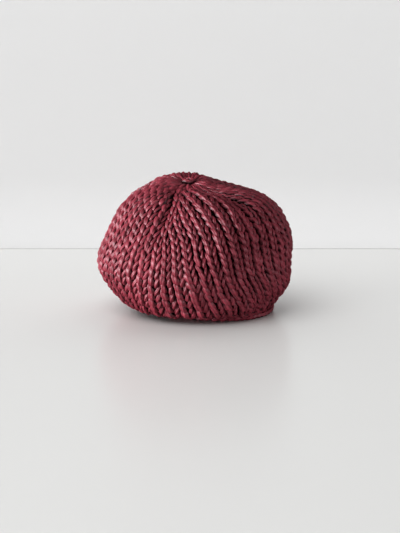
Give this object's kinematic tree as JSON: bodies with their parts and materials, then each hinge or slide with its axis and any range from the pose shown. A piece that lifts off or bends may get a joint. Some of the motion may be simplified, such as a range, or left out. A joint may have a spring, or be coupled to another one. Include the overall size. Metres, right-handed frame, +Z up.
{
  "type": "knit beret",
  "caption": "Slouchy chunky knit beret with a wide rounded body, a narrow head opening and a gathered crown, standing on its cast-on edge.",
  "frame": {"origin": "on the surface that the hat stands on, under the middle of its bounding box", "axes": "+Z up towards the crown, -Y towards the side that the picture shows, +X to the right of that view"},
  "size_m": [0.2294, 0.2154, 0.1601],
  "materials": {
    "knit_yarn": "very thick satin yarn of several loose strands, wine red",
    "edge_yarn": "the same yarn, twisted in the cast-on edge",
    "tie_yarn": "the same yarn, drawn tight through the last stitches"
  },
  "bodies": {
    "root": {"knit_body": "knit_yarn", "cast_on_edge": "edge_yarn", "crown_tie": "tie_yarn"}
  },
  "joints": []
}
